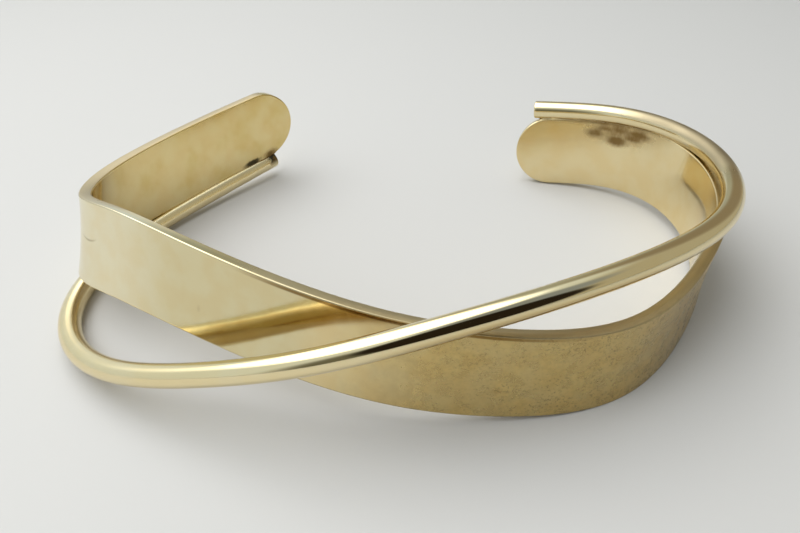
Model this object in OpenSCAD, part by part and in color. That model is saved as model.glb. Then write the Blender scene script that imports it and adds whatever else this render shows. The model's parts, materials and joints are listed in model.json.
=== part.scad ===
// A crossover cuff bracelet: a flat band with round ends and a round wire, which cross at the front and
// are soldered together at both ends. It lies on its side. X runs across the wrist, the opening faces +Y,
// Z is up, and the origin is the middle of its outline on the surface that it rests on. Millimetres.

/* [Band] */
// Width of the flat band
band_w = 9; // [8.5:0.1:9.2]
// Thickness of the flat band
band_t = 1.2; // [1:0.1:1.4]
// Rounding along the band's edges
edge_r = 0.15; // [0.1:0.05:0.35]
// How far the middle of the outer face lies behind its edges
band_hollow = 0.2; // [0:0.05:0.3]

/* [Wire] */
// Diameter of the round wire
wire_d = 2.2; // [2:0.1:2.3]
// Chamfer round the wire's cut ends
wire_chamfer = 0.2; // [0.1:0.05:0.4]

/* [Solder] */
// Radius of the solder run between wire and band
solder_r = 0.65; // [0.5:0.05:0.8]
// Length of the solder run at each end
solder_len = 15; // [8:1:18]

/* [Overall] */
// Width of the cuff across the wrist, over the wire
cuff_w = 72; // [66:0.5:78]
// Depth of the cuff from front to back
cuff_d = 50.5; // [46.5:0.5:55.5]
// Rings of the mesh in each span between two stations
rings = 8; // [4:1:8]
// Sides of the wire's section
wire_sides = 16; // [12:2:18]

/* [Hidden] */

// Columns of the station tables
ACROSS = 0;
BACK = 1;
HEIGHT = 2;
LEAN = 3;

// Stations of a line inside the band, half a millimetre behind the middle of its outer face, from the left
// tip round the front to the right tip: how far across and back each one is, its height over the rest
// plane, and how far the band's top edge leans outwards, in degrees
band_stations = [
    [-15.0,  25.0,  8.2,  -2],
    [-23.0,  18.0,  7.1,   4],
    [-29.5,  10.0,  6.8,   1],
    [-33.5,   2.0,  7.3,  -9],
    [-33.0,  -5.0,  8.4, -19],
    [-28.0,  -8.5,  9.6, -20],
    [-20.0, -14.0,  9.5, -15],
    [-10.5, -19.0,  8.3, -11],
    [ -0.5, -22.0,  6.3,  -8],
    [ 10.5, -22.5,  4.8,  -3],
    [ 20.5, -21.0,  4.3,   0],
    [ 28.5, -12.5,  4.8,   2],
    [ 34.5,  -2.5,  5.5,   4],
    [ 34.5,   9.0,  5.8,   4],
    [ 28.5,  17.0,  5.4,   4],
    [ 16.5,  20.0,  4.1,  10]
];

// Stations of the wire's axis, from its left end to its right end: across, back and height
wire_stations = [
    [-17.5,  23.0,  2.3],
    [-25.5,  14.5,  1.5],
    [-32.5,   5.5,  1.2],
    [-36.0,  -4.5,  1.0],
    [-33.5, -13.0,  1.4],
    [-27.0, -19.0,  2.8],
    [-17.5, -22.0,  5.5],
    [ -7.5, -24.5,  9.0],
    [  2.5, -23.5, 11.3],
    [ 13.0, -21.0, 12.6],
    [ 23.0, -16.5, 12.7],
    [ 31.5, -10.0, 12.1],
    [ 35.5,  -0.5, 11.6],
    [ 34.5,   9.5, 11.2],
    [ 28.5,  17.0, 10.7],
    [ 18.5,  20.5,  9.8]
];

// Plan size that the stations are drawn at
drawn_w = 72;
drawn_d = 50.5;

// How far the band's outer face lies in front of its stations
face_out = 0.5;

wire_r = wire_d / 2;
tip_r = band_w / 2;
core_out = face_out - band_t / 2;
UP = [0, 0, 1];
gold = [0.84, 0.71, 0.42];

// Stations stretched to the chosen width and depth
function stretch_of(column) =
    column == ACROSS ? cuff_w / drawn_w :
    column == BACK ? cuff_d / drawn_d :
    1;
function stretched(table) = [
    for (row = table) [for (column = [0 : len(row) - 1]) row[column] * stretch_of(column)]
];
band_path = stretched(band_stations);
wire_path = stretched(wire_stations);

function unit(v) = v / norm(v);
function place(row) = [row[ACROSS], row[BACK], row[HEIGHT]];

// Station i, with one more beyond each end, so that the smooth curve starts and stops on its end stations
function station(path, i) =
    i < 0 ? 2 * path[0] - path[1] :
    i >= len(path) ? 2 * path[len(path) - 1] - path[len(path) - 2] :
    path[i];

// How strongly the four nearest stations pull the curve at f, from 0 to 1 along a span, and how that pull
// changes with f
function pull(f) = [
    pow(1 - f, 3),
    3 * pow(f, 3) - 6 * pow(f, 2) + 4,
    -3 * pow(f, 3) + 3 * pow(f, 2) + 3 * f + 1,
    pow(f, 3)
] / 6;
function pull_change(f) = [
    -pow(1 - f, 2),
    3 * pow(f, 2) - 4 * f,
    -3 * pow(f, 2) + 2 * f + 1,
    pow(f, 2)
] / 2;

// Row of the smooth curve at u, counted in stations, and its direction there
function span_of(path, u) = max(0, min(floor(u), len(path) - 2));
function near(path, k) = [for (i = [k - 1 : k + 2]) station(path, i)];
function at(path, u) = let (k = span_of(path, u)) pull(u - k) * near(path, k);
function heading(path, u) = let (k = span_of(path, u)) unit(place(pull_change(u - k) * near(path, k)));

// Axes of the section at u: up along the band's width, and out, away from the wrist
function upright(path, u) = let (t = heading(path, u)) unit(UP - (UP * t) * t);
function lean_at(path, u) = let (row = at(path, u)) len(row) > LEAN ? row[LEAN] : 0;
function up_at(path, u) =
    let (v = upright(path, u), lean = lean_at(path, u))
    cos(lean) * v + sin(lean) * cross(heading(path, u), v);
function out_at(path, u) = cross(heading(path, u), up_at(path, u));

// Point at u, moved up and out in the section
function in_section(path, u, up, out) =
    place(at(path, u)) + up * up_at(path, u) + out * out_at(path, u);

// A distance in millimetres from either end, as a place u in stations
function from_start(path, d) = d / norm(place(path[1] - path[0]));
function from_end(path, d) =
    let (last = len(path) - 1) last - d / norm(place(path[last] - path[last - 1]));

// How far out the hollow faces lie at a distance up from their middle
function hollow(up) = band_hollow * pow(up / tip_r, 2);

// Outline of the band's section, a slightly hollow bar whose half width is a, as [up, out] pairs. Its
// outer face keeps its place whatever the thickness.
corner_steps = 3;
face_steps = 4;
function corner(up, out, r, from) = [
    for (s = [0 : corner_steps - 1])
        let (angle = from + 90 * s / (corner_steps - 1)) [up + r * cos(angle), out + r * sin(angle)]
];
function face(up, out) = [for (s = [1 : face_steps - 1]) [up * (1 - 2 * s / face_steps), out]];
function bar(a) =
    let (b = band_t / 2, r = min(edge_r, a / 2), c = a - r, d = b - r)
    [
        for (p = [
            each corner(c, d, r, 0),
            each face(c, b),
            each corner(-c, d, r, 90),
            each corner(-c, -d, r, 180),
            each face(-c, -b),
            each corner(c, -d, r, 270)
        ])
            [p[0], core_out + p[1] + hollow(p[0])]
    ];

// Outline of a round section of radius r
function round_bar(r) = [
    for (s = [0 : wire_sides - 1]) let (angle = 360 * s / wire_sides) [r * cos(angle), r * sin(angle)]
];

// A tube through rings of equal length, closed at both ends
module skin(ring_list) {
    n = len(ring_list[0]);
    last = len(ring_list) - 1;
    polyhedron(
        points = [for (ring = ring_list) each ring],
        faces = [
            [for (i = [0 : n - 1]) i],
            [for (i = [n - 1 : -1 : 0]) last * n + i],
            for (k = [0 : last - 1], i = [0 : n - 1])
                let (j = (i + 1) % n) each [
                    [k * n + i, (k + 1) * n + j, k * n + j],
                    [k * n + i, (k + 1) * n + i, (k + 1) * n + j]
                ]
        ]
    );
}

// Places of the band's rings: [u, half width]. The round ends are cut to a half circle.
tip_steps = 8;
tip_rings = [
    for (s = [1 : tip_steps]) let (angle = 90 * s / tip_steps) [tip_r * (1 - cos(angle)), tip_r * sin(angle)]
];
band_last = len(band_path) - 1;
straight_from = ceil(from_start(band_path, tip_r) * rings + 0.5);
straight_to = floor(from_end(band_path, tip_r) * rings - 0.5);
band_places = [
    for (t = tip_rings) [from_start(band_path, t[0]), t[1]],
    for (s = [straight_from : straight_to]) [s / rings, tip_r],
    for (i = [tip_steps - 1 : -1 : 0]) [from_end(band_path, tip_rings[i][0]), tip_rings[i][1]]
];

// Places of the wire's rings: [u, radius], with a small chamfer at each cut end
wire_last = len(wire_path) - 1;
wire_places = [
    [0, wire_r - wire_chamfer],
    [from_start(wire_path, wire_chamfer), wire_r],
    for (s = [1 : wire_last * rings - 1]) [s / rings, wire_r],
    [from_end(wire_path, wire_chamfer), wire_r],
    [wire_last, wire_r - wire_chamfer]
];

module band() {
    color(gold)
        skin([for (p = band_places) [for (q = bar(p[1])) in_section(band_path, p[0], q[0], q[1])]]);
}

module wire() {
    color(gold)
        skin([for (p = wire_places) [for (q = round_bar(p[1])) in_section(wire_path, p[0], q[0], q[1])]]);
}

// A run of solder along the band's top edge (side 1) or bottom edge (side -1), from u_from to u_to
solder_beads = 10;
module solder(side, u_from, u_to) {
    spots = [
        for (i = [0 : solder_beads])
            let (u = u_from + (u_to - u_from) * i / solder_beads)
            in_section(band_path, u, side * tip_r, core_out + band_hollow)
    ];
    color(gold)
        for (i = [0 : solder_beads - 1])
            hull() {
                translate(spots[i]) sphere(solder_r, $fn = 10);
                translate(spots[i + 1]) sphere(solder_r, $fn = 10);
            }
}

// Band, wire and solder are one piece of metal
module cuff() {
    union() {
        band();
        wire();
        solder(-1, from_start(band_path, tip_r), from_start(band_path, tip_r + solder_len));
        solder(1, from_end(band_path, tip_r + solder_len), from_end(band_path, tip_r));
    }
}

cuff();
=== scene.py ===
# Looks of a crossover cuff bracelet: a flat band and a round wire, soldered together at both ends.
import json
import math

import bpy
import numpy as np
from mathutils import Matrix, Vector


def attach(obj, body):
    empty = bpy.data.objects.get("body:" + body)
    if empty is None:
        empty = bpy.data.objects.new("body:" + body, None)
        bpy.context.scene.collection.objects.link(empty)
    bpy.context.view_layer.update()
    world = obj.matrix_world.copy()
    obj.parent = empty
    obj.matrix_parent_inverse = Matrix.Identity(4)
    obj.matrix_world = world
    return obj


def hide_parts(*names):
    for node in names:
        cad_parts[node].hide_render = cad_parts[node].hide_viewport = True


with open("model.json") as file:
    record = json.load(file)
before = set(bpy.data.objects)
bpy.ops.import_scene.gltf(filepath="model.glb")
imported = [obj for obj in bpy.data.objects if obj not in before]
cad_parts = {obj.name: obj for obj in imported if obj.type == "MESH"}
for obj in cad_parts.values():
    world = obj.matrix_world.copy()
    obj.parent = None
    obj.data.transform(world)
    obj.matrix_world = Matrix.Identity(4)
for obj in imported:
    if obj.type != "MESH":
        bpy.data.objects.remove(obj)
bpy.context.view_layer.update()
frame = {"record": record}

bl_info = {
    "name": "Crossover Cuff Bracelet",
    "version": (1, 0, 0),
    "blender": (4, 5, 0),
    "location": "3D View > Sidebar > Cuff",
    "description": "Builds a polished crossover cuff, its finishes and a small studio around the packed part",
    "category": "Add Mesh",
}

MM = 0.001
BRASS = frame["record"]["materials"][0]
BRASS_COLOUR = tuple(BRASS["base_color"][:3])
# Points nearer than this are one point
SAME_PLACE = 1e-8

# Stations of a line just inside the band's outer face, from the left tip round the front to the right tip, as
# in the part: across, back and height in millimetres, and how far the top edge leans outwards, in degrees
BAND_STATIONS = [
    (-15.0, 25.0, 8.2, -2),
    (-23.0, 18.0, 7.1, 4),
    (-29.5, 10.0, 6.8, 1),
    (-33.5, 2.0, 7.3, -9),
    (-33.0, -5.0, 8.4, -19),
    (-28.0, -8.5, 9.6, -20),
    (-20.0, -14.0, 9.5, -15),
    (-10.5, -19.0, 8.3, -11),
    (-0.5, -22.0, 6.3, -8),
    (10.5, -22.5, 4.8, -3),
    (20.5, -21.0, 4.3, 0),
    (28.5, -12.5, 4.8, 2),
    (34.5, -2.5, 5.5, 4),
    (34.5, 9.0, 5.8, 4),
    (28.5, 17.0, 5.4, 4),
    (16.5, 20.0, 4.1, 10),
]

# How far the band's outer face lies in front of its stations
FACE_OUT = 0.5 * MM

# Stations of the wire's axis, from its left end to its right end: across, back and height
WIRE_STATIONS = [
    (-17.5, 23.0, 2.3),
    (-25.5, 14.5, 1.5),
    (-32.5, 5.5, 1.2),
    (-36.0, -4.5, 1.0),
    (-33.5, -13.0, 1.4),
    (-27.0, -19.0, 2.8),
    (-17.5, -22.0, 5.5),
    (-7.5, -24.5, 9.0),
    (2.5, -23.5, 11.3),
    (13.0, -21.0, 12.6),
    (23.0, -16.5, 12.7),
    (31.5, -10.0, 12.1),
    (35.5, -0.5, 11.6),
    (34.5, 9.5, 11.2),
    (28.5, 17.0, 10.7),
    (18.5, 20.5, 9.8),
]

# Points that measure a curve's length in each span between two stations
SPAN_POINTS = 200

# Points across the band's section. Half of the outer face has close ones as far from its middle as the marks
# reach, then wider ones up to its edge, and half of the inner face has even ones. Both have one more just
# before the rounding of the edge, so that the face beside it looks flat.
MARKED_HALF = 2.5 * MM
MARKED_POINTS = 22
OUTER_POINTS = 8
INNER_POINTS = 12
BEFORE_EDGE = 0.03 * MM
# Points round an edge and round each tip of the band, and flat rings on each cut end of the wire
EDGE_POINTS = 7
TIP_POINTS = 41
END_RINGS = 4
# How deep in the band its inner face starts, as a share of its thickness
INNER_SHARE = 0.7

# Marks on the band's outer face, in millimetres: along the band from its left tip and up from its middle
# line. The nick is a thin arc, which reaches to both sides of its place and rises by its sag there.
NICK = {"along": 39.0, "up": 0.35, "reach": 1.8, "sag": 0.5, "width": 0.12, "depth": 0.03}
DENT = {"along": 54.6, "up": -1.5, "length": 0.28, "width": 0.55, "depth": 0.012}
# The band's sections are closer together near the marks: how near, and how many times closer
FINE_REACH = 2.1 * MM
FINE_TIMES = 4

# Heat stains on the band's inner face: place along and up, half length and half width in millimetres, how
# brown and how black
STAINS = [
    {"along": 139.2, "up": 2.9, "length": 1.6, "width": 0.8, "brown": 0.8, "black": 0.0},
    {"along": 138.0, "up": 3.6, "length": 1.8, "width": 0.7, "brown": 0.75, "black": 0.0},
    {"along": 136.4, "up": 2.2, "length": 1.7, "width": 0.8, "brown": 1.0, "black": 0.0},
    {"along": 136.2, "up": 3.7, "length": 2.4, "width": 0.7, "brown": 0.8, "black": 0.0},
    {"along": 134.4, "up": 2.9, "length": 1.8, "width": 0.7, "brown": 0.85, "black": 0.0},
    {"along": 133.7, "up": 3.5, "length": 2.0, "width": 0.7, "brown": 0.95, "black": 0.0},
    {"along": 136.2, "up": 3.0, "length": 4.4, "width": 1.6, "brown": 0.6, "black": 0.0},
    {"along": 138.0, "up": 4.4, "length": 8.5, "width": 0.5, "brown": 0.75, "black": 0.0},
    {"along": 7.4, "up": -4.1, "length": 1.7, "width": 0.5, "brown": 0.6, "black": 0.9},
    {"along": 4.3, "up": -4.2, "length": 1.4, "width": 0.8, "brown": 0.9, "black": 0.45},
]

# Runs of solder: which edge of the band each is on, how far it goes on round the tip and how far it laps over
# the band's faces, in millimetres, and how far it climbs round the wire, in degrees
SOLDER_RUNS = [
    {"name": "solder_left", "side": -1, "past": 1.0, "lap": 0.12, "climb": 32},
    {"name": "solder_right", "side": 1, "past": 1.6, "lap": 0.28, "climb": 48},
]
# Section of the solder: points from band to wire, how far it starts below the band's face, how thick it
# covers the wire, the least height and width that it has, and how far from the band's middle its hidden root
# and its knee are, as shares of half its thickness
FILLET = {
    "points": 9,
    "sink": 0.01 * MM,
    "film": 0.03 * MM,
    "least_height": 0.1 * MM,
    "least_width": 0.05 * MM,
    "root": 0.3,
    "knee": 0.85,
}
# Unevenness of the solder: distance between sections, lumps in a run, sections that smooth them, how much
# they swell it, the share of a run in which it thins out at each end, and the seed
LUMPS = {"step": 0.15 * MM, "count": 14, "smoothing": 9, "swell": 0.3, "thinning": 0.12, "seed": 11}
# Points of the wire's axis, among which the one nearest to the band is found
WIRE_POINTS = 4001


class CuffBand(bpy.types.PropertyGroup):
    """Sizes of the flat band"""

    width: bpy.props.FloatProperty(
        name="Width", description="Width of the flat band", default=9 * MM, min=0, unit="LENGTH"
    )
    thickness: bpy.props.FloatProperty(
        name="Thickness", description="Thickness of the flat band", default=1.2 * MM, min=0, unit="LENGTH"
    )
    edge_radius: bpy.props.FloatProperty(
        name="Edge radius",
        description="Rounding along the band's edges",
        default=0.15 * MM,
        min=0,
        unit="LENGTH",
    )
    hollow: bpy.props.FloatProperty(
        name="Hollow",
        description="How far the middle of the outer face lies behind its edges",
        default=0.2 * MM,
        min=0,
        unit="LENGTH",
    )
    section_step: bpy.props.FloatProperty(
        name="Section step",
        description="Distance between sections",
        default=0.25 * MM,
        min=0.05 * MM,
        unit="LENGTH",
    )


class CuffWire(bpy.types.PropertyGroup):
    """Sizes of the round wire"""

    diameter: bpy.props.FloatProperty(
        name="Diameter", description="Diameter of the round wire", default=2.2 * MM, min=0, unit="LENGTH"
    )
    end_rounding: bpy.props.FloatProperty(
        name="End rounding", description="Rounding of the cut ends", default=0.15 * MM, min=0, unit="LENGTH"
    )
    sides: bpy.props.IntProperty(name="Sides", description="Sides of the wire's section", default=48, min=12)
    section_step: bpy.props.FloatProperty(
        name="Section step",
        description="Distance between sections",
        default=0.25 * MM,
        min=0.05 * MM,
        unit="LENGTH",
    )


class CuffSolder(bpy.types.PropertyGroup):
    """Size of the solder"""

    length: bpy.props.FloatProperty(
        name="Length",
        description="Length of the solder run at each end",
        default=15 * MM,
        min=0,
        unit="LENGTH",
    )


class CuffFinish(bpy.types.PropertyGroup):
    """Colours and gloss of the metal"""

    gold: bpy.props.FloatVectorProperty(
        name="Gold",
        description="Colour of the polished metal",
        default=BRASS_COLOUR,
        size=3,
        subtype="COLOR",
    )
    # On the wire a random paler tone. On the band's left front it is painted glare: a lighter colour that
    # stands for the bright floor and window this face reflects. The haze itself is in the roughness.
    pale_gold_and_painted_glare: bpy.props.FloatVectorProperty(
        name="Pale gold",
        description="Colour of the polish haze at the band's left front",
        default=(0.83, 0.77, 0.56),
        size=3,
        subtype="COLOR",
    )
    tan_gold: bpy.props.FloatVectorProperty(
        name="Tan gold",
        description="Colour of the duller plating at the band's right front",
        default=(0.61, 0.46, 0.19),
        size=3,
        subtype="COLOR",
    )
    # Painted shade that dims the window's highlight on the wire's top near its right end and on the band's
    # edges along the front and right, where both are also satin in their roughness
    satin_painted_shade_gold: bpy.props.FloatVectorProperty(
        name="Satin gold",
        description="Colour of the wire where the soldering dulled it",
        default=(0.43, 0.36, 0.23),
        size=3,
        subtype="COLOR",
    )
    # Painted shade on the inner rim of the edges round the left end, which dims their highlight
    rim_painted_shade_gold: bpy.props.FloatVectorProperty(
        name="Rim gold",
        description="Colour of the filed edges round the left end",
        default=(0.50, 0.42, 0.27),
        size=3,
        subtype="COLOR",
    )
    # Painted shade on the wire's side that faces the band and on its underside, which also darkens its
    # reflection in the band
    recess_painted_shade_gold: bpy.props.FloatVectorProperty(
        name="Recess gold",
        description="Colour of the wire where it faces the band and polishing did not reach",
        default=(0.62, 0.46, 0.21),
        size=3,
        subtype="COLOR",
    )
    aged_gold: bpy.props.FloatVectorProperty(
        name="Aged gold",
        description="Colour of the mottled plating inside the left end",
        default=(0.70, 0.55, 0.23),
        size=3,
        subtype="COLOR",
    )
    # Also the colour of a painted dark reflection: the brown line below the band's top edge
    heat_brown_and_painted_reflection: bpy.props.FloatVectorProperty(
        name="Heat brown",
        description="Colour of the heat stains",
        default=(0.19, 0.10, 0.02),
        size=3,
        subtype="COLOR",
    )
    soot: bpy.props.FloatVectorProperty(
        name="Soot",
        description="Colour of the burnt spots",
        default=(0.02, 0.018, 0.012),
        size=3,
        subtype="COLOR",
    )
    band_roughness: bpy.props.FloatProperty(
        name="Band roughness",
        description="Roughness of the flat band",
        default=0.08,
        min=0,
        max=1,
        subtype="FACTOR",
    )
    wire_roughness: bpy.props.FloatProperty(
        name="Wire roughness",
        description="Roughness of the wire",
        default=0.08,
        min=0,
        max=1,
        subtype="FACTOR",
    )


class CuffStage(bpy.types.PropertyGroup):
    """Colours and brightness of the stage"""

    floor_colour: bpy.props.FloatVectorProperty(
        name="Floor",
        description="Colour of the plain floor",
        default=(0.62, 0.61, 0.59),
        size=3,
        subtype="COLOR",
    )
    backdrop_colour: bpy.props.FloatVectorProperty(
        name="Backdrop",
        description="Colour of the plain backdrop",
        default=(0.52, 0.53, 0.52),
        size=3,
        subtype="COLOR",
    )
    window_strength: bpy.props.FloatProperty(
        name="Window", description="Brightness of the window at the upper left", default=2.0, min=0
    )
    fill_strength: bpy.props.FloatProperty(
        name="Fill", description="Brightness of the weak lamp at the front left", default=0.9, min=0
    )


def smooth_pull(f):
    """How strongly the four nearest stations pull the curve at f, from 0 to 1 along a span."""
    pulls = [(1 - f) ** 3, 3 * f**3 - 6 * f**2 + 4, -3 * f**3 + 3 * f**2 + 3 * f + 1, f**3]
    return np.stack(pulls, axis=-1) / 6


def smooth_change(f):
    """How that pull changes along the span."""
    changes = [-((1 - f) ** 2), 3 * f**2 - 4 * f, -3 * f**2 + 2 * f + 1, f**2]
    return np.stack(changes, axis=-1) / 2


def unit(vectors):
    """The vectors at a length of one."""
    return vectors / np.linalg.norm(vectors, axis=-1, keepdims=True)


class Curve:
    """A smooth curve along a table of stations, measured along its length, with axes for its sections."""

    def __init__(self, stations):
        rows = np.array(stations, float)
        rows[:, :3] *= MM
        self.rows = np.vstack([2 * rows[0] - rows[1], rows, 2 * rows[-1] - rows[-2]])
        self.last = len(stations) - 1
        self.places = np.linspace(0, self.last, SPAN_POINTS * self.last + 1)
        points = self.row(self.places)[:, :3]
        steps = np.linalg.norm(np.diff(points, axis=0), axis=1)
        self.reached = np.concatenate([[0], np.cumsum(steps)])
        self.length = self.reached[-1]

    def blend_of(self, places, weights):
        """The four nearest stations, weighed at each place."""
        span = np.clip(np.floor(places).astype(int), 0, self.last - 1)
        near = self.rows[span[..., None] + np.arange(4)]
        return np.einsum("...k,...kc->...c", weights(places - span), near)

    def row(self, places):
        """Row of the smooth curve at each place."""
        return self.blend_of(places, smooth_pull)

    def place_at(self, along):
        """Place in stations at a distance along the curve, or the nearest end."""
        return np.interp(along, self.reached, self.places)

    def section(self, along):
        """Middle, up, out and heading at a distance along the curve. Out points away from the wrist."""
        places = self.place_at(along)
        row = self.row(places)
        heading = unit(self.blend_of(places, smooth_change)[..., :3])
        upright = unit(np.array([0, 0, 1.0]) - heading[..., 2:3] * heading)
        outward = np.cross(heading, upright)
        lean = np.radians(row[..., 3:4]) if row.shape[-1] > 3 else np.zeros_like(heading[..., :1])
        up = np.cos(lean) * upright + np.sin(lean) * outward
        return row[..., :3], up, np.cross(heading, up), heading

    def point(self, along, up, out):
        """Point at a distance along the curve, moved up and out in the section."""
        middle, up_axis, out_axis, _ = self.section(along)
        return middle + up[..., None] * up_axis + out[..., None] * out_axis


def grid_faces(rings, points, ring_loop, point_loop):
    """Quads between rings of points, numbered ring by ring."""
    ring = np.arange(rings if ring_loop else rings - 1)[:, None]
    point = np.arange(points if point_loop else points - 1)[None, :]
    ring_next = (ring + 1) % rings
    point_next = (point + 1) % points
    corners = [
        ring * points + point,
        ring * points + point_next,
        ring_next * points + point_next,
        ring_next * points + point,
    ]
    shape = (len(ring), point.shape[1])
    return np.stack([np.broadcast_to(c, shape) for c in corners], axis=-1).reshape(-1, 4)


def merged(points, faces, values):
    """Points at the same place made one, with the faces that this leaves whole."""
    spots = np.round(points / SAME_PLACE)
    _, first, same = np.unique(spots, axis=0, return_index=True, return_inverse=True)
    same = same.reshape(-1)
    kept = []
    for face in same[faces]:
        corners = [c for i, c in enumerate(face) if c != face[i - 1]]
        if len(corners) > 2:
            kept.append(corners)
    return points[first], kept, {name: value[first] for name, value in values.items()}


def section_values(along, up, out):
    """The places along, up and out in millimetres, as values that the materials read."""
    return {"along": along.ravel() / MM, "up": up.ravel() / MM, "out": out.ravel() / MM}


def add_piece(name, points, faces, values, material):
    """A smooth mesh object with named values at its points, which stands for the cuff and rides with it."""
    mesh = bpy.data.meshes.new(name)
    mesh.from_pydata(points.tolist(), [], [list(map(int, f)) for f in faces])
    mesh.validate()
    for value_name, value in values.items():
        attribute = mesh.attributes.new(value_name, "FLOAT", "POINT")
        attribute.data.foreach_set("value", value.astype(np.float32))
    mesh.shade_smooth()
    mesh.materials.append(material)
    piece = bpy.data.objects.new(name, mesh)
    bpy.context.scene.collection.objects.link(piece)
    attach(piece, "root")
    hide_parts("cuff")


def along_steps(start, stop, step, fine):
    """Distances from start to stop, closer together near the fine spots."""
    marks = [start]
    while marks[-1] < stop:
        near = min(abs(marks[-1] - spot) for spot in fine)
        marks.append(marks[-1] + (step / FINE_TIMES if near < FINE_REACH else step))
    marks = np.array(marks)
    return start + (marks - start) * (stop - start) / (marks[-1] - start)


def band_marks(along, up):
    """Depth of the nick and the dent at places on the band's outer face, in millimetres."""
    share = (along / MM - NICK["along"]) / NICK["reach"]
    far = up / MM - NICK["up"] - NICK["sag"] * share**2
    ends = np.sqrt(np.clip(1 - np.abs(share), 0, 1))
    nick = NICK["depth"] * np.exp(-((far / NICK["width"]) ** 2)) * ends
    aside = (along / MM - DENT["along"]) / DENT["length"]
    above = (up / MM - DENT["up"]) / DENT["width"]
    dent = DENT["depth"] * np.exp(-(aside**2) - above**2)
    return nick + dent


def band_stains(along, up, on_inner_face):
    """How brown and how black the band is at places on it."""
    brown = np.zeros_like(along)
    black = np.zeros_like(along)
    for stain in STAINS:
        aside = (along / MM - stain["along"]) / stain["length"]
        above = (up / MM - stain["up"]) / stain["width"]
        cover = np.exp(-(aside**2 + above**2)) * on_inner_face
        brown = np.maximum(brown, stain["brown"] * cover)
        black = np.maximum(black, stain["black"] * cover)
    return brown, black


def band_profile(radius, half, edge):
    """Section of the band from the middle of its outer face, round the edge, to the middle of its inner face:
    distances from the middle, and distances out."""
    flat = radius - edge
    turn = np.radians(np.linspace(0, 90, EDGE_POINTS))[1:]
    rounding = flat + edge * np.sin(turn)
    rounding_out = half - edge + edge * np.cos(turn)
    marked = np.linspace(0, MARKED_HALF, MARKED_POINTS)
    plain = np.linspace(MARKED_HALF, flat, OUTER_POINTS)[1:-1]
    outer = np.concatenate([marked, plain, [flat - BEFORE_EDGE, flat]])
    inner = np.concatenate([np.linspace(0, flat, INNER_POINTS)[:-1], [flat - BEFORE_EDGE, flat]])
    across = np.concatenate([outer, rounding, rounding[::-1], inner[::-1]])
    outer_out, inner_out = np.full(len(outer), half), np.full(len(inner), -half)
    return across, np.concatenate([outer_out, rounding_out, -rounding_out[::-1], inner_out])


class CUFF_OT_band(bpy.types.Operator):
    """Builds the flat band, with rounded edges and full round ends"""

    bl_idname = "cuff.band"
    bl_label = "Build the flat band"

    def execute(self, context):
        band = context.scene.cuff_band
        curve = Curve(BAND_STATIONS)
        radius = band.width / 2
        marked = [NICK["along"] * MM, DENT["along"] * MM]
        along = along_steps(radius, curve.length - radius, band.section_step, marked)
        # The sections follow the top edge, the right tip, the bottom edge and the left tip
        turn = np.radians(np.linspace(0, 180, TIP_POINTS))[1:-1]
        right, left = np.full(len(turn), along[-1]), np.full(len(turn), along[0])
        start = np.concatenate([along, right, along[::-1], left])
        zeros = np.zeros(len(along))
        step_along = np.concatenate([zeros, np.sin(turn), zeros, -np.sin(turn)])
        step_up = np.concatenate([zeros + 1, np.cos(turn), zeros - 1, -np.cos(turn)])
        across, out = band_profile(radius, band.thickness / 2, band.edge_radius)
        s = start[:, None] + step_along[:, None] * across
        v = step_up[:, None] * across
        w = np.broadcast_to(out, s.shape) + FACE_OUT - band.thickness / 2
        marks = np.where(w > FACE_OUT - SAME_PLACE, band_marks(s, v), 0)
        w -= marks * MM
        bowed = w + band.hollow * (v / radius) ** 2
        points = curve.point(s.ravel(), v.ravel(), bowed.ravel())
        faces = grid_faces(len(start), len(across), True, False)[:, ::-1]
        brown, black = band_stains(s, v, w < FACE_OUT - INNER_SHARE * band.thickness)
        values = section_values(s, v, w)
        values.update(brown=brown.ravel(), black=black.ravel(), mark=marks.ravel())
        points, faces, values = merged(points, faces, values)
        add_piece("flat_band", points, faces, values, band_finish(context.scene.cuff_finish))
        return {"FINISHED"}


class CUFF_OT_wire(bpy.types.Operator):
    """Builds the round wire, with rounded cut ends"""

    bl_idname = "cuff.wire"
    bl_label = "Build the round wire"

    def execute(self, context):
        wire = context.scene.cuff_wire
        curve = Curve(WIRE_STATIONS)
        radius = wire.diameter / 2
        edge = wire.end_rounding
        turn = np.radians(np.linspace(0, 90, EDGE_POINTS))
        flat = np.linspace(0, radius - edge, END_RINGS + 1)[:-1]
        cap_radius = np.concatenate([flat, radius - edge + edge * np.sin(turn)])
        cap_along = np.concatenate([0 * flat, edge - edge * np.cos(turn)])
        count = int((curve.length - 2 * edge) / wire.section_step)
        middle = np.linspace(edge, curve.length - edge, count)[1:-1]
        along = np.concatenate([cap_along, middle, curve.length - cap_along[::-1]])
        radii = np.concatenate([cap_radius, np.full(len(middle), radius), cap_radius[::-1]])
        angle = np.linspace(0, 2 * np.pi, wire.sides, endpoint=False)
        s = np.broadcast_to(along[:, None], (len(along), wire.sides))
        v = radii[:, None] * np.cos(angle)
        w = radii[:, None] * np.sin(angle)
        points = curve.point(s.ravel(), v.ravel(), w.ravel())
        faces = grid_faces(len(along), wire.sides, False, True)
        values = section_values(s, v, w)
        points, faces, values = merged(points, faces, values)
        add_piece("round_wire", points, faces, values, wire_finish(context.scene.cuff_finish))
        return {"FINISHED"}


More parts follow.
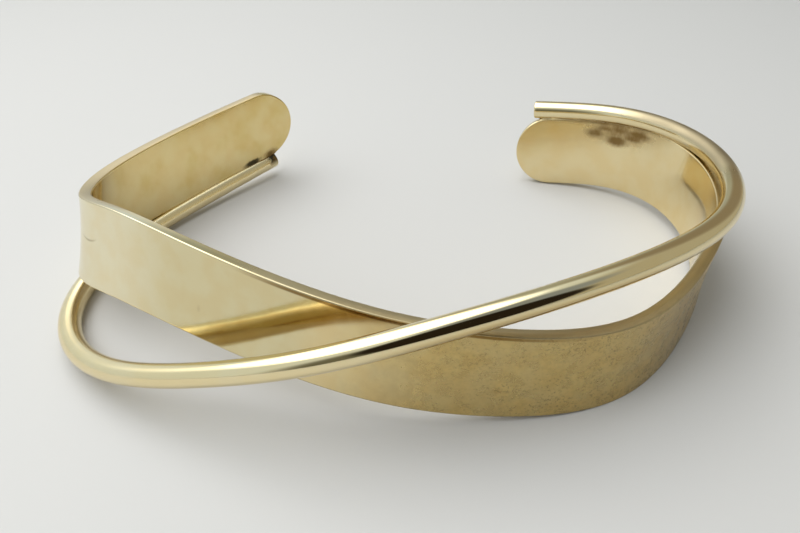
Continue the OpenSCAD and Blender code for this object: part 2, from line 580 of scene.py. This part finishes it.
def solder_seam(band_curve, wire_curve, along, run, band, wire, lumps):
    """Rings of the fillet between the band's edge and the wire. It laps a little over both and thins out to
    nothing at its ends."""
    radius = band.width / 2
    half = band.thickness / 2
    past = np.maximum(0, np.maximum(radius - along, along - band_curve.length + radius))
    edge = run["side"] * np.sqrt(radius**2 - past**2)
    foot = band_curve.point(along, edge, np.full_like(along, band.hollow + FACE_OUT - half))
    heading = band_curve.section(along)[3]
    wire_points = wire_curve.section(np.linspace(0, wire_curve.length, WIRE_POINTS))[0]
    nearest = np.linalg.norm(foot[:, None] - wire_points[None], axis=2).argmin(axis=1)
    towards = wire_points[nearest] - foot
    towards -= np.einsum("ij,ij->i", towards, heading)[:, None] * heading
    far = np.linalg.norm(towards, axis=1)
    towards = towards / far[:, None]
    across = np.cross(heading, towards)
    share = np.linspace(0, 1, len(along))
    ends = np.clip(np.minimum(share, 1 - share) / LUMPS["thinning"], 0, 1) ** 0.5
    film = FILLET["film"] * ends
    reach = wire.diameter / 2 + film
    knee_height = np.maximum(FILLET["least_height"], far - wire.diameter / 2)
    sides = []
    for sign in (1, -1):
        swell = ends * (1 + LUMPS["swell"] * lumps[sign])
        lap = run["lap"] * MM * swell
        climb = np.radians(run["climb"]) * swell
        width = np.maximum(reach * np.sin(climb), FILLET["least_width"])
        start = np.stack([-lap, half - FILLET["sink"] + 0 * lap], axis=1)
        knee = np.stack([knee_height, half * FILLET["knee"] + film * 2], axis=1)
        stop = np.stack([far - reach * np.cos(climb), width], axis=1)
        curve = [np.stack([-lap, FILLET["root"] * half + 0 * lap], axis=1)]
        for t in np.linspace(0, 1, FILLET["points"]):
            step = (1 - t) ** 2 * start + 2 * t * (1 - t) * knee + t**2 * stop
            step[:, 1] += film * np.sin(np.pi * t)
            curve.append(step)
        curve.append(np.stack([far, 0 * far], axis=1))
        sides.append([foot + p[:, :1] * towards + sign * p[:, 1:] * across for p in curve])
    return np.stack(sides[0] + sides[1][-2::-1], axis=1)


def solder_lumps(along, start, stop, chance):
    """Smooth uneven swellings along a run, from -1 to 1."""
    knots = np.linspace(start, stop, LUMPS["count"])
    rough = np.interp(along, knots, chance.uniform(-1, 1, len(knots)))
    count = LUMPS["smoothing"]
    return np.convolve(np.pad(rough, count // 2, mode="edge"), np.ones(count) / count, mode="valid")


class CUFF_OT_solder(bpy.types.Operator):
    """Builds the runs of solder between band and wire"""

    bl_idname = "cuff.solder"
    bl_label = "Build the solder"

    def execute(self, context):
        band = context.scene.cuff_band
        wire = context.scene.cuff_wire
        length = context.scene.cuff_solder.length
        band_curve = Curve(BAND_STATIONS)
        wire_curve = Curve(WIRE_STATIONS)
        left_tip = band.width / 2
        right_tip = band_curve.length - left_tip
        chance = np.random.default_rng(LUMPS["seed"])
        for run in SOLDER_RUNS:
            past = run["past"] * MM
            start, stop = left_tip - past, left_tip + length
            if run["side"] > 0:
                start, stop = right_tip - length, right_tip + past
            along = np.arange(start, stop, LUMPS["step"])
            lumps = {sign: solder_lumps(along, start, stop, chance) for sign in (1, -1)}
            points = solder_seam(band_curve, wire_curve, along, run, band, wire, lumps)
            rings, count = points.shape[:2]
            faces = [list(f) for f in grid_faces(rings, count, False, True)[:, ::-1]]
            faces += [list(range(count)), list(range((rings - 1) * count, rings * count))[::-1]]
            values = {"along": np.repeat(along, count) / MM}
            finish = solder_finish(context.scene.cuff_finish)
            add_piece(run["name"], points.reshape(-1, 3), faces, values, finish)
        return {"FINISHED"}


class Nodes:
    """Builds a node tree step by step. All but step and plug return the output of the step that they add."""

    def __init__(self, tree):
        self.nodes = tree.nodes
        self.links = tree.links

    def step(self, kind, inputs, **settings):
        """Adds a node of one kind, with outputs or plain values in its inputs, and returns it."""
        node = self.nodes.new("ShaderNode" + kind)
        for name, setting in settings.items():
            setattr(node, name, setting)
        for socket, value in inputs.items():
            self.plug(node.inputs[socket], value)
        return node

    def plug(self, socket, value):
        """Joins an output to a socket, or sets the socket to a number, vector or colour."""
        if isinstance(value, bpy.types.NodeSocket):
            self.links.new(value, socket)
        elif socket.type == "RGBA":
            socket.default_value = (*value, 1)
        else:
            socket.default_value = value

    def vector(self, operation, first, second, output="Vector"):
        return self.step("VectorMath", {0: first, 1: second}, operation=operation).outputs[output]

    def math(self, operation, first, second):
        return self.step("Math", {0: first, 1: second}, operation=operation).outputs["Value"]

    def plus(self, first, second):
        return self.math("ADD", first, second)

    def times(self, *values):
        product = values[0]
        for value in values[1:]:
            product = self.math("MULTIPLY", product, value)
        return product

    def fade(self, value, none, full, low=0, high=1, ease="SMOOTHSTEP"):
        """From low to high as the value goes from none to full."""
        inputs = {"Value": value, "From Min": none, "From Max": full, "To Min": low, "To Max": high}
        return self.step("MapRange", inputs, interpolation_type=ease).outputs["Result"]

    def blend(self, factor, first, second, mode="MIX", label=""):
        node = self.step("Mix", {}, data_type="RGBA", blend_type=mode, label=label)
        for socket, value in {"Factor": factor, "A": first, "B": second}.items():
            self.plug(node.inputs[socket], value)
        return node.outputs["Result"]


class Finish(Nodes):
    """The node material of one finish."""

    def __init__(self, name):
        self.material = bpy.data.materials.new(name)
        self.material.use_nodes = True
        super().__init__(self.material.node_tree)

    def value(self, name):
        """A value that the mesh carries at its points."""
        return self.step("Attribute", {}, attribute_name=name).outputs["Fac"]

    def read_section(self):
        """The values along, up and out by name, and the three as one vector."""
        values = {name: self.value(name) for name in ("along", "up", "out")}
        place = self.step("CombineXYZ", dict(zip("XYZ", values.values()))).outputs["Vector"]
        return values, place

    def zone(self, values, fades, cover=None):
        """Where all the fades meet, on a part of the section if a cover names one."""
        parts = [values[cover]] if cover else []
        parts += [self.fade(values[name], none, full) for name, none, full in fades]
        return self.times(*parts)

    def noise(self, vector, scale, detail=2, roughness=0.5):
        inputs = {"Vector": vector, "Scale": scale, "Detail": detail, "Roughness": roughness}
        return self.step("TexNoise", inputs).outputs["Fac"]

    def stretched_noise(self, vector, by, scale=1, **pattern):
        """Noise whose scale differs along, up and out."""
        return self.noise(self.vector("MULTIPLY", vector, by), scale, **pattern)

    def bump(self, height, distance):
        return self.step("Bump", {"Height": height, "Distance": distance, "Strength": 1}).outputs["Normal"]

    def shade(self, inputs):
        """Puts outputs or plain values in the shader's own sockets, and returns the material."""
        for socket, value in inputs.items():
            self.plug(self.nodes["Principled BSDF"].inputs[socket], value)
        return self.material

    def metal(self, colour, roughness, normal):
        return self.shade({"Metallic": 1, "Base Color": colour, "Roughness": roughness, "Normal": normal})


# Noise patterns of the finishes. Their scales are per millimetre, those of the solder per metre.
BLOTCHES = {"scale": 0.28, "detail": 3}
CLUSTERS = {"scale": 0.5, "detail": 3}
MOTTLE = {"scale": 1.1, "detail": 6, "roughness": 0.6}
SPECKS = {"scale": 3.6, "detail": 4, "roughness": 0.65}
GRAIN = {"scale": 6, "detail": 2}
CLOUDS = {"scale": 0.35, "detail": 3}
CHAR = {"scale": 1.5, "detail": 4, "roughness": 0.65}
SOLDER_CLOUDS = {"scale": 900, "detail": 3}
SOLDER_GRAIN = {"scale": 2600, "detail": 3}
# The same, with scales along, up and out
WARMTH = {"by": (1, 1, 0), "scale": 0.4, "detail": 2}
RAGGED = {"by": (2.2, 1.1, 1.5), "detail": 5, "roughness": 0.7}
RIPPLE = {"by": (0.9, 0.16, 0.2), "detail": 1}
DRAWN_LINES = {"by": (0.12, 5, 5), "detail": 3}

# Tints that the finishes add to the chosen colours
TAN_DARK = (0.46, 0.35, 0.15)
TAN_LIGHT = (0.66, 0.50, 0.21)
TAN_GREY = (0.55, 0.46, 0.26)
# Painted shade: a cool darkening of the outer face between the pale left front and the dull right front
COOL_PAINTED_SHADE_TINT = (0.84, 0.88, 0.92)
WARM_TINT = (0.90, 0.66, 0.30)
SPECK_TINT = (0.30, 0.22, 0.10)
MARK_TINT = (0.22, 0.17, 0.09)

# Where the band's inner side turns into its outer side, out from its stations, and where its edge starts, up
# or down from its middle line, in millimetres
OUTER_SIDE = {"none": -0.3, "full": 0.1}
EDGE_SIDE = {"none": 4.3, "full": 4.45}
# Zones of the band's finish, and of the glare, shade and reflection painted on it: the part of its section
# that each is on, and the fades that bound it. Each fade has the value that it reads, and where it is none
# and full, in millimetres.
BAND_ZONES = {
    # painted glare in a lighter colour, with real haze in its roughness
    "pale": {"cover": "outside", "fades": [("along", 12, 22), ("along", 54, 42)]},
    # painted shade, darker and cooler
    "cool_painted_shade": {"cover": "outside", "fades": [("along", 42, 53), ("along", 68, 63)]},
    "dull": {"cover": "outside", "fades": [("along", 62, 78), ("along", 128, 106)]},
    # painted dark reflection, a brown line below the top edge
    "line": {"cover": "outside", "fades": [("up", 3.98, 4.14), ("up", 4.42, 4.32), ("along", 57, 64)]},
    "aged": {"cover": "inside", "fades": [("along", 40, 24)]},
    "satin": {"cover": "inside", "fades": [("along", 122, 132)]},
    "end_edge": {"cover": "edge", "fades": [("along", 46, 36)]},
    # painted shade on the inner rim
    "end_rim_painted_shade": {"cover": "edge", "fades": [("along", 46, 36), ("out", -0.67, -0.56)]},
    # satin edge with painted shade
    "dull_edge_painted_shade": {"cover": "edge", "fades": [("along", 55, 62), ("along", 128, 118)]},
}
# Fades of the band's patterns, stains and distances: where each is none and full, and what the fade goes from
# and to where that isn't 0 and 1
BAND_FADES = {
    "pale": {"none": 0.2, "full": 0.7, "low": 0.7},
    "tan": {"none": 0.34, "full": 0.66},
    "tan_grey": {"none": 0.4, "full": 0.62, "high": 0.4},
    "aged": {"none": 0.3, "full": 0.62, "low": 1, "high": 0.55},
    "warmth": {"none": 0.35, "full": 0.65, "high": 0.16},
    "specks": {"none": 0.54, "full": 0.64},
    "clusters": {"none": 0.4, "full": 0.58},
    "specks_start": {"none": 74, "full": 86, "low": 0.15, "high": 0.7},
    "specks_end": {"none": 108, "full": 93},
    "brown": {"none": 0.35, "full": 1.1},
    "black": {"none": 0.5, "full": 0.95},
    "mark": {"none": 0.004, "full": 0.025, "high": 0.55},
    "line": {"none": 92, "full": 80, "high": 0.85},
    "haze": {"none": 0.3, "full": 0.7, "low": 0.8, "high": 1.25},
}
# How strongly the mottle shows in the tan, how ragged the stains are, how strongly they and the painted shade
# of the dull edge show, and how deep the grain is against the ripple
BAND_STRENGTHS = {
    "mottled": 0.55,
    "ragged_brown": 0.45,
    "ragged_black": 0.5,
    "brown": 0.88,
    "black": 0.9,
    "dull_edge_painted_shade": 0.62,
    "grain": 0.02,
}
# How much rougher the band is in its zones
BAND_ROUGHER = {
    "pale": 0.06,
    "dull": 0.2,
    "aged": 0.1,
    "satin": 0.16,
    "end_edge": 0.3,
    "dull_edge_painted_shade": 0.25,
    "brown": 0.2,
    "specks": 0.15,
}
# Zones, fades and strengths of the wire's finish and of the shade painted on it, and how much rougher it is
# in its zones
WIRE_ZONES = {
    "hazy": {"fades": [("along", 70, 52)]},
    # painted shade on the side that faces the band
    "recess_painted_shade": {"fades": [("out", -0.64, -0.78), ("up", 0.89, 0.77), ("along", 52, 58), ("along", 90, 82)]},
    # painted shade underneath
    "under_painted_shade": {"fades": [("up", 0.4, -0.1), ("along", 74, 84), ("along", 106, 98)]},
    # satin, and painted shade on the wire's top that dims the window's highlight
    "satin": {"fades": [("along", 118, 126), ("along", 145.5, 138), ("up", 0.1, 0.7)]},
    "warm": {"fades": [("along", 128, 136), ("up", -0.4, -0.9)]},
    "end_top": {"fades": [("up", -0.5, 0.5), ("along", 4, 1)]},
}
WIRE_FADES = {
    "pale": {"none": 0.35, "full": 0.65, "high": 0.2},
    "end": {"none": 0, "full": 2.6, "low": 1.1, "high": 0},
    "burnt": {"none": 0.9, "full": 1.3},
    "brown": {"none": 0.45, "full": 0.6},
    "lines": {"none": 0.3, "full": 0.7, "low": 0.75, "high": 1.35},
    "satin": {"none": 0.3, "full": 0.7, "low": 0.36, "high": 0.46},
}
WIRE_STRENGTHS = {"char": 1.2, "under_painted_shade": 0.75, "warm": 0.5, "burnt": 0.93, "clouds": 4}
WIRE_ROUGHER = {"hazy": 0.16, "burnt": 0.3}
# Fades of the solder's distances and clouds, and how much rougher its ends are
SOLDER_FADES = {
    "left_end": {"none": 10, "full": 6},
    "right_end": {"none": 124, "full": 130, "high": 0.5},
    "brown": {"none": 0.3, "full": 0.55},
    "haze": {"none": 0.3, "full": 0.7, "low": 0.16, "high": 0.28},
}
SOLDER_ROUGHER = 0.15
# How deep the patterns make each surface
BAND_BUMP = 0.009 * MM
WIRE_BUMP = 0.0012 * MM
SOLDER_BUMP = 0.006 * MM


def band_finish(look):
    """Pale hazy polish at the left front, with painted glare in its lighter colour, painted shade in the
    middle of the front, duller speckled plating at the right front, golden inside, with heat stains beside
    the solder, and painted shade and a painted dark reflection on the edges."""
    band = Finish("polished_band")
    values, place = band.read_section()
    values["outside"] = band.fade(values["out"], **OUTER_SIDE)
    values["inside"] = band.math("SUBTRACT", 1, values["outside"])
    values["edge"] = band.fade(band.math("ABSOLUTE", values["up"], 0), **EDGE_SIDE)
    along = values["along"]
    zones = {name: band.zone(values, **zone) for name, zone in BAND_ZONES.items()}
    blotches = band.noise(place, **BLOTCHES)
    mottle = band.noise(place, **MOTTLE)

    # Painted glare: the hazy left front is paler, as though it reflected brighter light
    pale = band.times(zones["pale"], band.fade(blotches, **BAND_FADES["pale"]))
    colour = band.blend(pale, look.gold, look.pale_gold_and_painted_glare)
    tan = band.blend(band.fade(mottle, **BAND_FADES["tan"]), TAN_DARK, TAN_LIGHT)
    tan = band.blend(band.fade(blotches, **BAND_FADES["tan_grey"]), tan, TAN_GREY)
    tan = band.blend(BAND_STRENGTHS["mottled"], look.tan_gold, tan)
    colour = band.blend(zones["dull"], colour, tan)
    aged = band.times(zones["aged"], band.fade(blotches, **BAND_FADES["aged"]))
    colour = band.blend(aged, colour, look.aged_gold)
    # Painted shade on the outer face between the pale left front and the dull right front
    colour = band.blend(zones["cool_painted_shade"], colour, COOL_PAINTED_SHADE_TINT, "MULTIPLY")
    warmth = band.fade(band.stretched_noise(place, **WARMTH), **BAND_FADES["warmth"])
    colour = band.blend(warmth, colour, WARM_TINT, "MULTIPLY")

    # Specks gather in clusters on the dull front and leave its edges free
    specks = band.fade(band.noise(place, **SPECKS), **BAND_FADES["specks"])
    clusters = band.fade(band.noise(place, **CLUSTERS), **BAND_FADES["clusters"])
    start = band.fade(along, **BAND_FADES["specks_start"])
    end = band.fade(along, **BAND_FADES["specks_end"])
    off_edge = band.fade(values["edge"], 1, 0)
    zones["specks"] = band.times(specks, clusters, zones["dull"], start, end, off_edge)
    colour = band.blend(zones["specks"], colour, SPECK_TINT)

    # The stains have ragged outlines
    ragged = band.stretched_noise(place, **RAGGED)
    brown = band.plus(band.value("brown"), band.times(ragged, BAND_STRENGTHS["ragged_brown"]))
    black = band.plus(band.value("black"), band.times(ragged, BAND_STRENGTHS["ragged_black"]))
    zones["brown"] = band.fade(brown, **BAND_FADES["brown"])
    black = band.fade(black, **BAND_FADES["black"])
    colour = band.blend(band.times(zones["brown"], BAND_STRENGTHS["brown"]), colour, look.heat_brown_and_painted_reflection)
    colour = band.blend(band.times(black, BAND_STRENGTHS["black"]), colour, look.soot)
    colour = band.blend(band.fade(band.value("mark"), **BAND_FADES["mark"]), colour, MARK_TINT)

    # Painted shade on the inner rim of the edges round the left end and on the satin edges along the front
    # and right, which dims their highlights, and a painted dark reflection: the brown line below the top edge
    colour = band.blend(zones["end_rim_painted_shade"], colour, look.rim_painted_shade_gold)
    colour = band.blend(band.times(zones["dull_edge_painted_shade"], BAND_STRENGTHS["dull_edge_painted_shade"]), colour, look.satin_painted_shade_gold)
    line = band.times(zones["line"], band.fade(along, **BAND_FADES["line"]))
    colour = band.blend(line, colour, look.heat_brown_and_painted_reflection)

    roughness = band.times(band.fade(mottle, **BAND_FADES["haze"]), look.band_roughness)
    for name, more in BAND_ROUGHER.items():
        roughness = band.plus(roughness, band.times(zones[name], more))
    ripple = band.stretched_noise(place, **RIPPLE)
    grain = band.times(band.noise(place, **GRAIN), BAND_STRENGTHS["grain"])
    return band.metal(colour, roughness, band.bump(band.plus(ripple, grain), BAND_BUMP))


def wire_finish(look):
    """Bright polish with faint drawing lines along the wire, hazy on the left and satin near the right end,
    with painted shade on its top there, on the side that faces the band and underneath, and a burnt left end."""
    wire = Finish("polished_wire")
    values, place = wire.read_section()
    zones = {name: wire.zone(values, **zone) for name, zone in WIRE_ZONES.items()}
    lines = wire.stretched_noise(place, **DRAWN_LINES)
    clouds = wire.noise(place, **CLOUDS)
    char = wire.noise(place, **CHAR)

    colour = wire.blend(wire.fade(clouds, **WIRE_FADES["pale"]), look.gold, look.pale_gold_and_painted_glare)
    # Painted shade on the wire's top near the right end, which dims the window's highlight
    colour = wire.blend(zones["satin"], colour, look.satin_painted_shade_gold)
    # Painted shade on the side that faces the band and underneath
    facing_painted_shade = wire.math("MAXIMUM", zones["recess_painted_shade"], wire.times(zones["under_painted_shade"], WIRE_STRENGTHS["under_painted_shade"]))
    colour = wire.blend(facing_painted_shade, colour, look.recess_painted_shade_gold)
    colour = wire.blend(wire.times(zones["warm"], WIRE_STRENGTHS["warm"]), colour, look.heat_brown_and_painted_reflection)
    end = wire.fade(values["along"], **WIRE_FADES["end"])
    burnt = wire.fade(wire.plus(wire.times(char, WIRE_STRENGTHS["char"]), end), **WIRE_FADES["burnt"])
    zones["burnt"] = wire.times(burnt, zones["end_top"])
    burnt_colour = wire.blend(wire.fade(char, **WIRE_FADES["brown"]), look.soot, look.heat_brown_and_painted_reflection)
    colour = wire.blend(wire.times(zones["burnt"], WIRE_STRENGTHS["burnt"]), colour, burnt_colour)

    roughness = wire.times(wire.fade(lines, **WIRE_FADES["lines"]), look.wire_roughness)
    satin = wire.times(zones["satin"], wire.fade(clouds, **WIRE_FADES["satin"]))
    roughness = wire.plus(roughness, satin)
    for name, more in WIRE_ROUGHER.items():
        roughness = wire.plus(roughness, wire.times(zones[name], more))
    height = wire.plus(lines, wire.times(clouds, WIRE_STRENGTHS["clouds"]))
    return wire.metal(colour, roughness, wire.bump(height, WIRE_BUMP))


def solder_finish(look):
    """Golden solder, browned near the cuff's ends."""
    solder = Finish("solder")
    along = solder.value("along")
    place = solder.step("TexCoord", {}).outputs["Object"]
    clouds = solder.noise(place, **SOLDER_CLOUDS)
    left_end = solder.fade(along, **SOLDER_FADES["left_end"])
    ends = solder.math("MAXIMUM", left_end, solder.fade(along, **SOLDER_FADES["right_end"]))
    brown = solder.times(ends, solder.fade(clouds, **SOLDER_FADES["brown"]))
    colour = solder.blend(brown, look.gold, look.heat_brown_and_painted_reflection)
    haze = solder.fade(clouds, **SOLDER_FADES["haze"])
    roughness = solder.plus(haze, solder.times(ends, SOLDER_ROUGHER))
    grain = solder.noise(place, **SOLDER_GRAIN)
    return solder.metal(colour, roughness, solder.bump(grain, SOLDER_BUMP))


# The camera, in the part's frame: its place in millimetres, how far it looks down and how far it is rolled,
# in degrees, and its focal length in pixels of the 800 by 533 picture
CAMERA = {"place": (0.07, -60.42, 45.9), "down": 37.29, "roll": -1.56, "focal": 651.2, "picture_width": 800}
SENSOR_WIDTH = 36
NEAREST_SEEN = 1 * MM

# The floor and the backdrop behind it, in metres. The backdrop is darker up to a height, and has a share of
# its colour at its foot.
FLOOR = {"half": 2, "roughness": 0.9}
BACKDROP = {"radius": 1.5, "height": 1.8, "sides": 96, "foot_height": 0.5, "foot_share": 0.68}

# The soft light around the cuff: each patch is centred at an azimuth, turned from the back towards the right,
# and a height over the floor, fades between two distances from there, all in degrees, and has a colour
WALL_COLOUR = (0.71, 0.77, 0.80)
LIGHT_PATCHES = [
    {"name": "right wall", "turn": 85, "height": 5, "full": 42, "none": 68, "colour": (0.45, 0.43, 0.35)},
    {"name": "back wall", "turn": 13, "height": 22, "full": 16, "none": 31, "colour": (0.40, 0.42, 0.38)},
    {"name": "right corner", "turn": 38, "height": 25, "full": 9, "none": 32, "colour": (0.27, 0.23, 0.17)},
    {"name": "bright back", "turn": -24, "height": 42, "full": 8, "none": 24, "colour": (1.3, 1.3, 1.25)},
    {"name": "front wall", "turn": -172, "height": 10, "full": 14, "none": 45, "colour": (0.15, 0.15, 0.12)},
    {"name": "front ceiling", "turn": 135, "height": 62, "full": 10, "none": 32, "colour": (0.26, 0.3, 0.36)},
    {"name": "dark front", "turn": 162, "height": 28, "full": 27, "none": 37, "colour": (0.02, 0.015, 0.01)},
]
# The window is a round soft light: the direction that it comes from, its distance in metres, and how far from
# that direction it is still full and fades to none, in degrees
WINDOW = {"turn": -66, "height": 66, "distance": 0.26, "full": 22, "none": 42}
# The fill is a weak square lamp, with its distance and size in metres. It makes no reflection.
FILL = {"turn": -138, "height": 45, "distance": 0.2, "size": 0.16}


def pointing(turn, height):
    """Unit vector to a place at an azimuth, turned from the back towards the right, and a height."""
    turn, height = math.radians(turn), math.radians(height)
    return Vector((math.sin(turn) * math.cos(height), math.cos(turn) * math.cos(height), math.sin(height)))


def studio_walls():
    """The world: pale walls with softer and darker patches."""
    world = bpy.data.worlds.new("studio")
    world.use_nodes = True
    walls = Nodes(world.node_tree)
    direction = walls.step("TexCoord", {}).outputs["Generated"]
    light = WALL_COLOUR
    for patch in LIGHT_PATCHES:
        near = walls.vector("DOT_PRODUCT", direction, pointing(patch["turn"], patch["height"]), "Value")
        none, full = math.cos(math.radians(patch["none"])), math.cos(math.radians(patch["full"]))
        cover = walls.fade(near, none, full, ease="SMOOTHERSTEP")
        light = walls.blend(cover, light, patch["colour"], label=patch["name"])
    walls.plug(walls.nodes["Background"].inputs["Color"], light)
    return world


def square_lamp(name, lamp_place, size, strength):
    """A square lamp that shines on the cuff's middle."""
    lamp = bpy.data.lights.new(name, "AREA")
    lamp.shape = "SQUARE"
    lamp.size = size
    lamp.energy = strength * math.pi * lamp.size**2
    light = bpy.data.objects.new(name, lamp)
    light.location = pointing(lamp_place["turn"], lamp_place["height"]) * lamp_place["distance"]
    light.rotation_mode = "QUATERNION"
    light.rotation_quaternion = (-light.location).to_track_quat("-Z", "Y")
    bpy.context.scene.collection.objects.link(light)
    return light


def window_light(strength):
    """The window. Its light fades to nothing at its sides, so that it looks round and soft."""
    full, none = math.tan(math.radians(WINDOW["full"])), math.tan(math.radians(WINDOW["none"]))
    lamp = square_lamp("window", WINDOW, 2 * WINDOW["distance"] * none, strength).data
    lamp.use_nodes = True
    window = Nodes(lamp.node_tree)
    # The lamp's middle is at a half of each of its sides
    place = window.step("NewGeometry", {}).outputs["Parametric"]
    far = window.vector("DISTANCE", place, (0.5, 0.5, 0), "Value")
    strength = window.fade(far, 0.5, 0.5 * full / none, ease="SMOOTHERSTEP")
    window.plug(window.nodes["Emission"].inputs["Strength"], strength)


def fill_light(strength):
    """A weak lamp at the front left, which softens the shadows on the floor."""
    square_lamp("fill", FILL, FILL["size"], strength).visible_glossy = False


def add_surface(name, points, faces, material):
    """A mesh object of the stage."""
    mesh = bpy.data.meshes.new(name)
    mesh.from_pydata(points, [], faces)
    mesh.materials.append(material)
    surface = bpy.data.objects.new(name, mesh)
    bpy.context.scene.collection.objects.link(surface)
    return surface


def floor(colour):
    """The plain floor that the cuff lies on."""
    half = FLOOR["half"]
    corners = [(-half, -half, 0), (half, -half, 0), (half, half, 0), (-half, half, 0)]
    plain = Finish("plain_floor").shade({"Base Color": colour, "Roughness": FLOOR["roughness"]})
    return add_surface("floor", corners, [(0, 1, 2, 3)], plain)


def backdrop(colour):
    """A plain round wall behind the floor, which the camera sees. It neither lights nor shades the cuff."""
    sides = BACKDROP["sides"]
    turn = np.linspace(0, 2 * np.pi, sides, endpoint=False)
    rim = BACKDROP["radius"] * np.stack([np.cos(turn), np.sin(turn)], axis=1)
    points = np.concatenate([np.column_stack([rim, np.full(sides, z)]) for z in (0, BACKDROP["height"])])
    plain = Finish("plain_backdrop")
    place = plain.step("TexCoord", {}).outputs["Object"]
    height = plain.step("SeparateXYZ", {"Vector": place}).outputs["Z"]
    foot = tuple(BACKDROP["foot_share"] * c for c in colour)
    glow = plain.blend(plain.fade(height, 0, BACKDROP["foot_height"]), foot, colour)
    unlit = {"Base Color": (0, 0, 0), "Roughness": 1, "Specular IOR Level": 0}
    plain.shade({**unlit, "Emission Color": glow, "Emission Strength": 1})
    faces = grid_faces(2, sides, False, True).tolist()
    wall = add_surface("backdrop", points.tolist(), faces, plain.material)
    wall.visible_diffuse = wall.visible_glossy = wall.visible_transmission = wall.visible_shadow = False
    return wall


def picture_camera():
    """The camera at the photograph's viewing angle."""
    view = bpy.data.cameras.new("camera")
    view.sensor_width = SENSOR_WIDTH
    view.lens = SENSOR_WIDTH * CAMERA["focal"] / CAMERA["picture_width"]
    view.clip_start = NEAREST_SEEN
    camera = bpy.data.objects.new("camera", view)
    down = Matrix.Rotation(math.radians(90 - CAMERA["down"]), 4, "X")
    roll = Matrix.Rotation(math.radians(CAMERA["roll"]), 4, "Z")
    camera.matrix_world = Matrix.Translation(Vector(CAMERA["place"]) * MM) @ down @ roll
    bpy.context.scene.collection.objects.link(camera)
    return camera


class CUFF_OT_stage(bpy.types.Operator):
    """Builds the floor, the backdrop, the lights and the camera"""

    bl_idname = "cuff.stage"
    bl_label = "Build the stage"

    def execute(self, context):
        scene = context.scene
        stage = scene.cuff_stage
        floor(stage.floor_colour)
        backdrop(stage.backdrop_colour)
        scene.world = studio_walls()
        window_light(stage.window_strength)
        fill_light(stage.fill_strength)
        scene.camera = picture_camera()
        scene.view_settings.view_transform = "Standard"
        return {"FINISHED"}


class CUFF_PT_panel(bpy.types.Panel):
    """Lists the cuff's sizes and finishes, and the steps that build it"""

    bl_idname = "CUFF_PT_panel"
    bl_label = "Crossover Cuff"
    bl_space_type = "VIEW_3D"
    bl_region_type = "UI"
    bl_category = "Cuff"

    def draw(self, context):
        for name, group in SETTINGS.items():
            box = self.layout.box()
            for setting in group.__annotations__:
                box.prop(getattr(context.scene, name), setting)
        for operator in BUILD_ORDER:
            self.layout.operator(operator.bl_idname)


SETTINGS = {
    "cuff_band": CuffBand,
    "cuff_wire": CuffWire,
    "cuff_solder": CuffSolder,
    "cuff_finish": CuffFinish,
    "cuff_stage": CuffStage,
}
BUILD_ORDER = (CUFF_OT_stage, CUFF_OT_band, CUFF_OT_wire, CUFF_OT_solder)
CLASSES = (*SETTINGS.values(), *BUILD_ORDER, CUFF_PT_panel)


def register():
    for cls in CLASSES:
        bpy.utils.register_class(cls)
    for name, group in SETTINGS.items():
        setattr(bpy.types.Scene, name, bpy.props.PointerProperty(type=group))


def unregister():
    for name in SETTINGS:
        delattr(bpy.types.Scene, name)
    for cls in reversed(CLASSES):
        bpy.utils.unregister_class(cls)


def main():
    """Builds the stage and the cuff's pieces."""
    register()
    bpy.ops.cuff.stage()
    bpy.ops.cuff.band()
    bpy.ops.cuff.wire()
    bpy.ops.cuff.solder()


if __name__ == "__main__":
    main()
